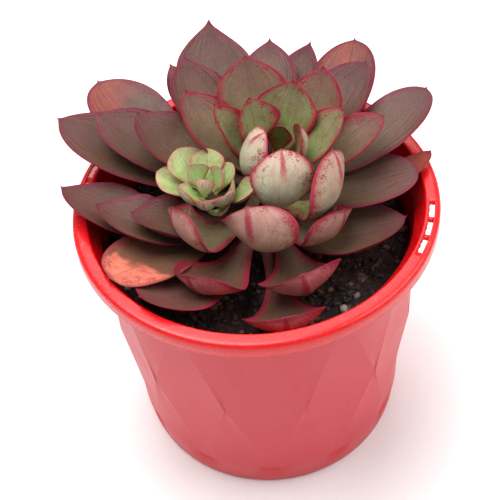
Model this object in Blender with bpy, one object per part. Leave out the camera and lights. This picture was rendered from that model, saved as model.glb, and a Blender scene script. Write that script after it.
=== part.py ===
"""Potted succulent: a double-headed rosette of fleshy leaves in a red plastic nursery pot.

Frame: metres, +Z up, origin on the floor under the middle of the pot. The front is -Y.
Azimuths are in degrees seen from above, 0 towards the front and positive towards +X.
"""
import math

import bmesh
import bpy
from mathutils import Vector, noise

MM = 0.001

# Pot
POT_HEIGHT = 108.5 * MM
RIM_RADIUS = 65.0 * MM
RIM_DEPTH = 5.8 * MM
RIM_THICKNESS = 1.5 * MM
MOUTH_RADIUS = 59.4 * MM
COLLAR_RADIUS = 58.0 * MM
FOOT_RADIUS = 51.6 * MM
WALL = 1.5 * MM
BASE_THICKNESS = 3.0 * MM
FACETS = 12
POINTS_PER_FACET = 4
FACET_TURN = -3.0
FACET_FOOT = 11.0 * MM
FACET_TOP = 102.0 * MM
FACET_INSET = 0.35 * MM
DRAINS = 8
DRAIN_RING_RADIUS = 33.0 * MM
DRAIN_RADIUS = 4.0 * MM
SLOT_RADII = (60.7 * MM, 62.8 * MM)
SLOT_MIDDLES = (70.0, -110.0)
SLOT_SPAN = 6.6
SLOT_PITCH = 7.8
SLOTS_PER_SIDE = 3
GAP = 0.4 * MM

# Potting mix
MIX_TOP = 91.0 * MM
MIX_LUMPS = 1.6 * MM
MIX_SIDES = 36

# Stem: a main trunk that leans to the right, and a short branch that carries the offset, in mm
TRUNK = ((-3.0, 5.0, 78.0), (-2.0, 5.0, 92.0), (1.0, 4.5, 104.0), (5.5, 3.0, 114.0), (9.0, 2.0, 123.0))
TRUNK_RADII = (6.0, 6.0, 5.5, 5.2, 4.0)
BRANCH = (
    (2.0, 4.0, 106.5), (-6.0, 0.5, 110.0), (-12.5, -3.8, 112.5), (-15.5, -5.6, 115.5), (-16.0, -6.0, 120.0),
)
BRANCH_RADII = (2.6, 2.6, 2.6, 2.4, 1.6)
STEM_SIDES = 16
ROOT_GAP = 1.2

# Leaf outline: (distance along the leaf, share of the full half width)
OUTLINE = ((0.0, 0.16), (0.15, 0.2), (0.32, 0.42), (0.5, 0.78), (0.64, 0.97), (0.72, 1.0))
LONG_STALKS = {
    "lower_leaf_front": 2.0, "lower_leaf_front_right": 1.5, "lower_leaf_front_left": 1.4,
    "lower_leaf_left_upper": 1.5, "middle_leaf_front": 1.4, "middle_leaf_front_left": 1.4,
    "middle_leaf_front_right": 1.4,
}
LEAF_STATIONS = (0.0, 0.14, 0.28, 0.42, 0.55, 0.67, 0.78, 0.88, 0.95, 1.0)
RING_TOP = (-1.0, -0.55, 0.0, 0.55, 1.0)
RING_UNDER = (0.55, 0.0, -0.55)

# Leaves. Crown centres in the plan, in mm, then one row for each leaf:
# name, crown, azimuth, reach to the tip, sideways swing of the middle, tip height,
# root height, width, turn in degrees (how far the blade curls up), where the curl sits
# along the leaf (higher is nearer the tip), cup, thickness, tip bluntness
CROWNS = {"low": (1.0, 4.0), "main": (10.0, 2.0), "offset": (-16.0, -6.0)}
LEAVES = (
    # lying low on the potting mix and the rim
    ("lower_leaf_front", "low", 5, 59, 1, 109.6, 100, 26, 120, 3.5, 4.5, 2.8, 0.4),
    ("lower_leaf_front_right", "low", 15, 46, 2, 113, 104, 27, 135, 3.0, 5, 3.0, 0.4),
    ("lower_leaf_front_left", "low", -41, 63, 7, 112.6, 96.3, 22.5, 48, 3.0, 3, 2.2, 0.45),
    ("lower_leaf_left_upper", "low", -31, 49, 5, 114.8, 106.5, 23.5, 118, 3.2, 4.2, 2.2, 0.4),
    ("withered_leaf_left", "low", -54.5, 64, 0, 110.8, 94.1, 19.5, 3, 1.5, 2, 1.4, 0.35),
    ("outer_leaf_left_low", "low", -92, 69, 8.5, 116.9, 99.7, 21, 36, 1.6, 4, 2.5, 0.7),
    ("outer_leaf_left_mid", "low", -83, 57, 9, 116.5, 102.0, 20, 38, 1.6, 4, 2.5, 0.7),
    ("outer_leaf_left_near", "low", -75, 46, 6, 115.5, 103.4, 17, 34, 1.6, 4, 1.9, 0.7),
    ("outer_leaf_right_low", "low", 69, 54, -8, 109, 98.8, 24, 40, 1.6, 5, 2.8, 0.6),
    ("outer_leaf_right", "low", 88, 57, -3.5, 114.5, 102.6, 22.5, 5, 1.5, 2, 2.7, 0.45),
    ("curled_leaf_right", "low", 97, 64, -9, 113, 95, 12, 5, 1.5, 2, 1.6, 0.5),
    ("outer_leaf_right_back", "low", 113, 70, -5, 125.5, 105.2, 21, 15, 1.5, 2, 2.7, 0.45),
    ("outer_leaf_back_right", "low", 145, 74, -5, 124, 101.5, 24, 25, 1.5, 3, 3.0, 0.5),
    ("outer_leaf_back_right_upper", "low", 131, 58, 0, 131, 106, 21, 25, 1.5, 3, 3.0, 0.6),
    ("outer_leaf_back_mid", "low", 155, 59, 1, 130, 101.8, 16.5, 25, 1.5, 3, 2.8, 0.9),
    ("outer_leaf_back", "low", 170, 57, 0, 131, 108.5, 20, 20, 1.5, 3, 3.0, 0.9),
    ("outer_leaf_back_left", "low", -169, 64, 3, 137, 102, 26.4, 20, 1.5, 3, 3.0, 1.1),
    ("outer_leaf_left_back", "low", -134, 79, 4, 119.5, 100.5, 26, 5, 1.5, 3, 3.0, 0.5),
    ("outer_leaf_far_left", "low", -112, 75, 2, 126, 106, 25, 32, 1.5, 4, 3.0, 0.7),
    ("outer_leaf_left_back_mid", "low", -117, 62, 2, 127, 108, 23, 32, 1.5, 4, 3.0, 0.7),
    ("outer_leaf_left_back_near", "low", -119, 46, 3, 130, 111, 21, 32, 1.5, 4, 3.0, 0.7),
    ("outer_leaf_left_upper", "low", -153, 48, 3, 137, 109, 20, 22, 1.5, 4, 3.0, 0.9),
    ("outer_leaf_left_upper_rear", "low", -149, 54, 1, 131.5, 105.6, 15, 14, 1.5, 4, 2.6, 0.9),
    # middle ring round the main crown
    ("middle_leaf_back", "main", -166, 37, 0, 142, 112, 24, 25, 1.3, 4, 3.5, 0.9),
    ("middle_leaf_back_right", "main", 148, 34, -3, 140, 111, 20, 30, 1.3, 4, 3.5, 0.9),
    ("middle_leaf_right", "main", 104, 38, -2, 132, 110, 17, 26, 1.3, 4, 3.2, 0.6),
    ("middle_leaf_left", "main", -126, 38, 2, 140.3, 113.6, 19.3, 30, 1.3, 4, 3.1, 0.9),
    ("middle_leaf_front_left", "main", -67, 41, 7, 122.5, 112, 26, 135, 2.4, 4.5, 2.6, 0.4),
    ("middle_leaf_front", "main", -29, 26.5, 6, 127, 107.9, 27.5, 165, 1.8, 4.8, 2.4, 0.4),
    ("middle_leaf_front_right", "main", 42, 29, -5, 120, 110.6, 23, 132, 1.8, 4.0, 2.7, 0.5),
    ("inner_leaf_back", "main", 160, 20, 0, 143, 114, 21, 30, 1.2, 4, 3.5, 0.9),
    ("inner_leaf_right_back", "main", 104, 23, -1, 140, 114, 16, 30, 1.2, 3, 2.8, 0.7),
    ("inner_leaf_left_back", "main", -148, 17, 0, 141, 116.5, 16, 30, 1.2, 5, 3.5, 1.0),
    ("inner_leaf_left", "main", -119, 24, 0, 142, 115, 12, 30, 1.2, 4, 3.2, 0.9),
    ("inner_leaf_front_right", "main", 58, 19.5, -5, 137, 111.9, 22.5, 150, 1.1, 3.5, 3.0, 0.5),
    ("bud_leaf_front", "main", 0, 9, 1, 138, 113.2, 22, 165, 1.0, 3, 3.2, 0.6),
    ("bud_leaf_left", "main", -78, 4, 0, 138, 114.8, 18.5, 105, 1.0, 3, 2.7, 0.6),
    ("bud_leaf_right", "main", 95, 7, 0, 138, 117, 13, 75, 1.0, 2.5, 2.5, 0.7),
    ("bud_leaf_back", "main", 165, 3, 0, 137, 118, 9, 60, 1.1, 2, 2.2, 0.7),
    # offset rosette
    ("offset_leaf_left", "offset", -120, 20, 0, 122, 114.5, 11, 25, 1.3, 2, 2.2, 0.7),
    ("offset_leaf_left_back", "offset", -150, 19, 0, 126, 116, 12, 25, 1.3, 2, 2.2, 0.7),
    ("offset_leaf_back", "offset", 176, 14.3, 0, 127, 117.5, 10, 25, 1.3, 2, 1.9, 0.7),
    ("offset_leaf_back_right", "offset", 132, 12.5, 0, 124.6, 115.7, 6.8, 25, 1.3, 2, 1.4, 0.7),
    ("offset_leaf_rear", "offset", 180, 20, 0, 120.3, 113.4, 7.5, 20, 1.3, 1.8, 1.4, 0.7),
    ("offset_leaf_front_left", "offset", -79, 9.5, 2, 126.3, 117.1, 9.8, 40, 1.3, 3, 1.9, 0.7),
    ("offset_leaf_front", "offset", -8, 9, 0, 125, 116.5, 10, 60, 1.3, 3, 2.0, 0.6),
    ("offset_leaf_front_right", "offset", 54, 10, 0, 126, 115.5, 11, 60, 1.3, 3, 2.2, 0.6),
    ("offset_leaf_right", "offset", 80, 17, 0, 124, 114.5, 9, 40, 1.3, 2, 2.2, 0.6),
    ("offset_leaf_under", "offset", 20, 9.5, 0, 117.5, 111.9, 5.6, 26, 1.3, 2, 1.2, 0.6),
    ("offset_leaf_inner_left", "offset", -140, 7, 0, 128, 118.5, 8, 50, 1.1, 3, 1.8, 0.6),
    ("offset_leaf_inner_right", "offset", 110, 6, 0, 128, 118.5, 8, 45, 1.1, 2, 1.8, 0.6),
    ("offset_bud", "offset", -20, 2, 0, 128, 119, 6, 60, 1.0, 2, 1.6, 0.6),
)

COLOURS = {
    "pot": ((0.78, 0.02, 0.03), 0.3),
    "mix": ((0.03, 0.022, 0.018), 0.95),
    "stem": ((0.28, 0.17, 0.13), 0.7),
    "dark": ((0.22, 0.12, 0.11), 0.55),
    "rose": ((0.42, 0.22, 0.22), 0.55),
    "pale": ((0.45, 0.48, 0.32), 0.5),
    "green": ((0.42, 0.58, 0.25), 0.45),
    "withered": ((0.62, 0.25, 0.14), 0.7),
}


def direction(azimuth):
    """Unit vector in the plan for an azimuth in degrees."""
    angle = math.radians(azimuth)
    return Vector((math.sin(angle), -math.cos(angle), 0.0))


def make_material(name):
    colour, roughness = COLOURS[name]
    material = bpy.data.materials.new(name)
    material.use_nodes = True
    shader = material.node_tree.nodes["Principled BSDF"]
    shader.inputs["Base Color"].default_value = (*colour, 1.0)
    shader.inputs["Roughness"].default_value = roughness
    return material


def object_from_bmesh(name, shape, collection, material):
    bmesh.ops.recalc_face_normals(shape, faces=shape.faces)
    if shape.calc_volume(signed=True) < 0.0:
        bmesh.ops.reverse_faces(shape, faces=shape.faces)
    mesh = bpy.data.meshes.new(name)
    shape.to_mesh(mesh)
    shape.free()
    mesh.materials.append(material)
    mesh.shade_smooth()
    mesh.set_sharp_from_angle(angle=math.radians(40))
    made = bpy.data.objects.new(name, mesh)
    collection.objects.link(made)
    return made


def bridge_rings(shape, rings):
    """Joins rings of the same number of points with quads, and returns their vertices."""
    rows = [[shape.verts.new(point) for point in ring] for ring in rings]
    count = len(rows[0])
    for lower, upper in zip(rows, rows[1:]):
        for i in range(count):
            j = (i + 1) % count
            shape.faces.new((lower[i], lower[j], upper[j], upper[i]))
    return rows


def circle(radius, height, count, turn=0.0):
    return [direction(turn + 360.0 * i / count) * radius + Vector((0, 0, height)) for i in range(count)]


# ---------------------------------------------------------------- pot

def cone_radius(height):
    """Outer radius of the plain cone that the facets are cut from."""
    return FOOT_RADIUS + (COLLAR_RADIUS - FOOT_RADIUS) * height / FACET_TOP


def facet_ring(share, inset):
    """One ring of the faceted wall: flat kites, with a bulge where four of them meet half way up."""
    count = FACETS * POINTS_PER_FACET
    height = FACET_FOOT + (FACET_TOP - FACET_FOOT) * share
    cone = cone_radius(height)
    half = math.pi / FACETS
    kite_edge = half * (1.0 - abs(2.0 * share - 1.0))
    ring = []
    for i in range(count):
        place = i % POINTS_PER_FACET
        if place > POINTS_PER_FACET / 2:
            place -= POINTS_PER_FACET
        off = place * 2.0 * half / POINTS_PER_FACET
        plane = (cone - FACET_INSET) / math.cos(min(abs(off), kite_edge))
        beyond = max(0.0, abs(off) - kite_edge)
        radius = plane + (cone - FACET_INSET - plane) * min(1.0, beyond / half) * 0.25
        ring.append(direction(FACET_TURN + 360.0 * i / count) * (radius - inset) + Vector((0, 0, height)))
    return ring


def make_pot(collection, cutters, material):
    """Closed profile: under the base, up the faceted wall, over the rim and down the inside."""
    count = FACETS * POINTS_PER_FACET

    def ring(radius, height):
        return circle(radius, height, count, FACET_TURN)

    shares = (0.0, 0.25, 0.5, 0.75, 1.0)
    lip = POT_HEIGHT - RIM_THICKNESS
    skirt = RIM_RADIUS - RIM_THICKNESS
    inside = WALL / math.cos(math.pi / count)
    floor = BASE_THICKNESS
    rings = [
        ring(FOOT_RADIUS - 1.4 * MM, 0.0),
        ring(FOOT_RADIUS, 1.8 * MM),
        ring(cone_radius(FACET_FOOT) + 0.1 * MM, FACET_FOOT - 0.8 * MM),
        *(facet_ring(share, 0.0) for share in shares),
        ring(MOUTH_RADIUS + 1.0 * MM, lip - 1.5 * MM),
        ring(MOUTH_RADIUS + 1.3 * MM, lip),
        ring(skirt - 0.3 * MM, lip),
        ring(skirt, POT_HEIGHT - RIM_DEPTH),
        ring(RIM_RADIUS, POT_HEIGHT - RIM_DEPTH),
        ring(RIM_RADIUS, POT_HEIGHT - 1.6 * MM),
        ring(RIM_RADIUS - 1.2 * MM, POT_HEIGHT - 0.2 * MM),
        ring(RIM_RADIUS - 2.4 * MM, POT_HEIGHT),
        ring(MOUTH_RADIUS + 0.6 * MM, POT_HEIGHT),
        ring(MOUTH_RADIUS, POT_HEIGHT - 0.7 * MM),
        ring(MOUTH_RADIUS - 0.6 * MM, lip - 1.5 * MM),
        *(facet_ring(share, inside) for share in reversed(shares)),
        ring(FOOT_RADIUS - WALL - 0.6 * MM, floor + 1.2 * MM),
        ring(FOOT_RADIUS - WALL - 1.8 * MM, floor),
    ]
    shape = bmesh.new()
    rows = bridge_rings(shape, rings)
    shape.faces.new(rows[0])
    shape.faces.new(rows[-1])
    pot = object_from_bmesh("pot", shape, collection, material)
    for i in range(DRAINS):
        place = direction(360.0 * (i + 0.5) / DRAINS) * DRAIN_RING_RADIUS
        cutter = bmesh.new()
        rows = bridge_rings(cutter, [
            [place + point for point in circle(DRAIN_RADIUS, height, 12)] for height in (-MM, floor + MM)
        ])
        cutter.faces.new(rows[0])
        cutter.faces.new(rows[-1])
        cut_from(pot, object_from_bmesh("drain_cutter_%d" % (i + 1), cutter, cutters, material))
    for side, middle in enumerate(SLOT_MIDDLES):
        for i in range(SLOTS_PER_SIDE):
            centre = middle + (i - (SLOTS_PER_SIDE - 1) / 2) * SLOT_PITCH
            cutter = slot_cutter(centre)
            cut_from(pot, object_from_bmesh("slot_cutter_%d_%d" % (side + 1, i + 1), cutter, cutters, material))
    return pot


def slot_cutter(centre):
    """Curved block that cuts one slot through the flat of the rim."""
    steps = 4
    sections = []
    for i in range(steps + 1):
        out = direction(centre - SLOT_SPAN / 2 + SLOT_SPAN * i / steps)
        low = Vector((0, 0, POT_HEIGHT - RIM_THICKNESS - MM))
        high = Vector((0, 0, POT_HEIGHT + MM))
        inner, outer = SLOT_RADII
        sections.append([out * inner + low, out * outer + low, out * outer + high, out * inner + high])
    cutter = bmesh.new()
    rows = bridge_rings(cutter, sections)
    cutter.faces.new(rows[0])
    cutter.faces.new(rows[-1])
    return cutter


def cut_from(target, cutter):
    cutter.display_type = "WIRE"
    cutter.hide_render = True
    cut = target.modifiers.new(cutter.name, "BOOLEAN")
    cut.operation = "DIFFERENCE"
    cut.solver = "EXACT"
    cut.object = cutter


# ---------------------------------------------------------------- potting mix

def make_mix(collection, cutters, material):
    """Solid fill of the pot, a little clear of its wall, with a lumpy top and a socket for the stem."""
    clear = WALL + FACET_INSET + 2.0 * GAP
    floor = BASE_THICKNESS + GAP
    edge = cone_radius(MIX_TOP) - clear
    rings = [
        circle(cone_radius(floor) - clear - 2.2 * MM, floor, MIX_SIDES),
        circle(cone_radius(8.0 * MM) - clear - 0.6 * MM, 8.0 * MM, MIX_SIDES),
        circle(edge - 0.3 * MM, MIX_TOP - 3.5 * MM, MIX_SIDES),
    ]
    for radius in (edge - 2.0 * MM, 46.0 * MM, 37.0 * MM, 27.0 * MM, 16.0 * MM):
        ring = circle(radius, MIX_TOP, MIX_SIDES)
        for point in ring:
            lump = noise.noise(point * 110.0) + 0.5 * noise.noise(point * 260.0)
            point.z += MIX_LUMPS * lump
        rings.append(ring)
    shape = bmesh.new()
    rows = bridge_rings(shape, rings)
    shape.faces.new(rows[0])
    middle = shape.verts.new((0.0, 0.0, MIX_TOP))
    for start, end in zip(rows[-1], rows[-1][1:] + rows[-1][:1]):
        shape.faces.new((start, end, middle))
    mix = object_from_bmesh("potting_mix", shape, collection, material)
    socket = stem_shape(TRUNK, TRUNK_RADII, GAP / MM)
    cut_from(mix, object_from_bmesh("socket_cutter", socket, cutters, material))
    return mix


# ---------------------------------------------------------------- stem

def stem_shape(path, radii, extra=0.0):
    """Closed tube along a path, in metres."""
    rings = []
    for i, (place, radius) in enumerate(zip(path, radii)):
        ahead = (Vector(path[min(i + 1, len(path) - 1)]) - Vector(path[max(i - 1, 0)])).normalized()
        across = Vector((0.0, 1.0, 0.0)).cross(ahead).normalized()
        other = ahead.cross(across)
        ring = []
        for k in range(STEM_SIDES):
            angle = 2.0 * math.pi * k / STEM_SIDES
            spoke = across * math.cos(angle) + other * math.sin(angle)
            ring.append((Vector(place) + spoke * (radius + extra)) * MM)
        rings.append(ring)
    shape = bmesh.new()
    rows = bridge_rings(shape, rings)
    shape.faces.new(rows[0])
    shape.faces.new(rows[-1])
    return shape


def make_stem(collection, cutters, material):
    stem = object_from_bmesh("stem", stem_shape(TRUNK, TRUNK_RADII), collection, material)
    branch = object_from_bmesh("branch_adder", stem_shape(BRANCH, BRANCH_RADII), cutters, material)
    branch.display_type = "WIRE"
    branch.hide_render = True
    join = stem.modifiers.new("branch", "BOOLEAN")
    join.operation = "UNION"
    join.solver = "EXACT"
    join.object = branch
    return stem


def stem_point(path, radii, height):
    """Point on a stem's axis at a height, and the stem's radius there, all in mm."""
    for i in range(len(path) - 1):
        low, high = Vector(path[i]), Vector(path[i + 1])
        if height <= high.z or i == len(path) - 2:
            share = min(1.0, max(0.0, (height - low.z) / (high.z - low.z)))
            return low.lerp(high, share), radii[i] + (radii[i + 1] - radii[i]) * share


# ---------------------------------------------------------------- leaves

def outline_share(along, roundness):
    """Half width at a distance along the leaf, as a share of the widest."""
    if along >= OUTLINE[-1][0]:
        rest = (along - OUTLINE[-1][0]) / (1.0 - OUTLINE[-1][0])
        return max(0.02, (1.0 - rest ** 2.0) ** roundness)
    for (start, low), (end, high) in zip(OUTLINE, OUTLINE[1:]):
        if along <= end:
            share = (along - start) / (end - start)
            return low + (high - low) * share
    return 1.0


def curl_points(turn, curl, steps=40):
    """Unit curve that starts along +X and has turned upwards by the given angle at its end."""
    points, x, y = [(0.0, 0.0)], 0.0, 0.0
    for i in range(steps):
        angle = math.radians(turn) * ((i + 0.5) / steps) ** curl
        x += math.cos(angle) / steps
        y += math.sin(angle) / steps
        points.append((x, y))
    return points


def midline(row, steps=40):
    """Points along the middle of one leaf, from its root on the stem to its tip, in mm."""
    _, crown, azimuth, reach, swing, tip_height, root_height, _, turn, curl = row[:10]
    outward = direction(azimuth)
    side = direction(azimuth + 90.0)
    path, radii = (BRANCH, BRANCH_RADII) if crown == "offset" else (TRUNK, TRUNK_RADII)
    tip = Vector((*CROWNS[crown], tip_height)) + outward * reach
    root, radius = stem_point(path, radii, root_height)
    away = (tip + side * swing * 3.0 - root) * Vector((1.0, 1.0, 0.0)) if reach > 9.4 else outward
    root += away.normalized() * (radius + ROOT_GAP)
    chord = tip - root
    ahead = chord.normalized()
    up = ahead.cross(side).normalized()
    points = curl_points(turn, curl, steps)
    end_x, end_y = points[-1]
    scale = chord.length / math.hypot(end_x, end_y)
    lean = math.atan2(end_y, end_x)
    line = []
    for i, (x, y) in enumerate(points):
        u = i / steps
        along = (x * math.cos(lean) + y * math.sin(lean)) * scale
        rise = (y * math.cos(lean) - x * math.sin(lean)) * scale
        line.append(root + ahead * along + up * rise + side * (4.0 * swing * u * (1.0 - u)))
    return line, side


def leaf_rings(row, stations, top, under):
    """Rings of points along one leaf, from its root to its tip, in metres."""
    width, cup, thick, bluntness = row[7], row[10], row[11], row[12]
    steps = 40
    line, side = midline(row, steps)
    rings = []
    for u in stations:
        place = min(u * steps, steps - 0.001)
        i = int(place)
        centre = line[i].lerp(line[i + 1], place - i)
        tangent = (line[min(steps, i + 2)] - line[max(0, i - 1)]).normalized()
        across = (side - tangent * side.dot(tangent)).normalized()
        normal = tangent.cross(across)
        share = outline_share(u ** LONG_STALKS.get(row[0], 1.0), bluntness)
        body = thick * (0.55 + 0.45 * math.sin(math.pi * min(1.0, u / 0.9)) ** 0.7) * (1.0 - 0.75 * u ** 4)
        lift = cup * share * share * min(1.0, u / 0.5)
        ring = []
        for s, depth in [(s, 0.3) for s in top] + [(s, -0.7) for s in under]:
            rise = lift * s * s + depth * body * (1.0 - s * s)
            ring.append((centre + across * (width / 2 * share * s) + normal * rise) * MM)
        rings.append(ring)
    return rings


def make_leaf(row, collection, materials):
    shape = bmesh.new()
    rows = bridge_rings(shape, leaf_rings(row, LEAF_STATIONS, RING_TOP, RING_UNDER))
    shape.faces.new(rows[0])
    shape.faces.new(rows[-1])
    name = row[0]
    if name.startswith("offset"):
        finish = "green"
    elif name.startswith(("inner", "bud")):
        finish = "pale"
    elif name.startswith(("middle", "lower")):
        finish = "rose"
    elif name.startswith(("withered", "curled")):
        finish = "withered"
    else:
        finish = "dark"
    return object_from_bmesh(name, shape, collection, materials[finish])


# ---------------------------------------------------------------- build

def main():
    for old in list(bpy.data.objects):
        bpy.data.objects.remove(old)
    plant = bpy.data.collections.new("potted_succulent")
    cutters = bpy.data.collections.new("cutters")
    bpy.context.scene.collection.children.link(plant)
    bpy.context.scene.collection.children.link(cutters)
    cutters.hide_render = True
    materials = {name: make_material(name) for name in COLOURS}
    make_pot(plant, cutters, materials["pot"])
    make_mix(plant, cutters, materials["mix"])
    make_stem(plant, cutters, materials["stem"])
    for row in LEAVES:
        make_leaf(row, plant, materials)


main()
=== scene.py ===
"""Potted succulent, visual model: fleshy leaves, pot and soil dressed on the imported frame."""

import math
import random

import bmesh
import bpy
from mathutils import Matrix, Vector, noise
from mathutils.bvhtree import BVHTree


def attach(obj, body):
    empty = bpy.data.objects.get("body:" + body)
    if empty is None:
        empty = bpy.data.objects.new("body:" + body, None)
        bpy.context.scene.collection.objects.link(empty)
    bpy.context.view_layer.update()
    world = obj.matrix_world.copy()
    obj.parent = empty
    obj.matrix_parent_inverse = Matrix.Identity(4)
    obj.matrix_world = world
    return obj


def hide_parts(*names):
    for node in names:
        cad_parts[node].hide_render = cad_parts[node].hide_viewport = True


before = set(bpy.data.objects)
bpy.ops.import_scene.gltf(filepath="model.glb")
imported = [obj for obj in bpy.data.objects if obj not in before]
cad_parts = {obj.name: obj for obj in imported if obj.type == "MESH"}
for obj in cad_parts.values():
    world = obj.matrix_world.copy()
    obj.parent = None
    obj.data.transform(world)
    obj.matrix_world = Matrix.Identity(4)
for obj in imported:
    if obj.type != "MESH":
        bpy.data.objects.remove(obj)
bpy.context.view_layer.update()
rng = random.Random(11)
MM = 0.001

# Pot, in mm
POT_HEIGHT = 108.5
COLLAR_RADIUS = 58.0
FOOT_RADIUS = 51.6
WALL = 1.5
FACETS = 12
FACET_TURN = -3.0
FACET_FOOT = 11.0
FACET_TOP = 102.0
FACET_INSET = 0.35
SLOT_RADII = (60.7, 62.8)
SLOT_MIDDLES = (70.0, -110.0)
SLOT_SPAN = 6.6
SLOT_PITCH = 7.8
KITE_STEPS = 8
GAP_STEPS = 8
DRAINS = 8
DRAIN_RADIUS = 4.0
DRAIN_RING_RADIUS = 33.0

# Potting mix: loose grains and how far out they lie, in mm
GRAINS = 1500
STONES = 14
GRAIN_REACH = 54.3

# Stem, in mm
TRUNK = ((-3.0, 5.0, 78.0), (-2.0, 5.0, 92.0), (1.0, 4.5, 104.0), (5.5, 3.0, 114.0), (9.0, 2.0, 123.0))
TRUNK_RADII = (6.0, 6.0, 5.5, 5.2, 4.0)
BRANCH = (
    (2.0, 4.0, 106.5), (-6.0, 0.5, 110.0), (-12.5, -3.8, 112.5), (-15.5, -5.6, 115.5), (-16.0, -6.0, 120.0),
)
BRANCH_RADII = (2.6, 2.6, 2.6, 2.4, 1.6)
ROOT_SINK = -0.6

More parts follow.
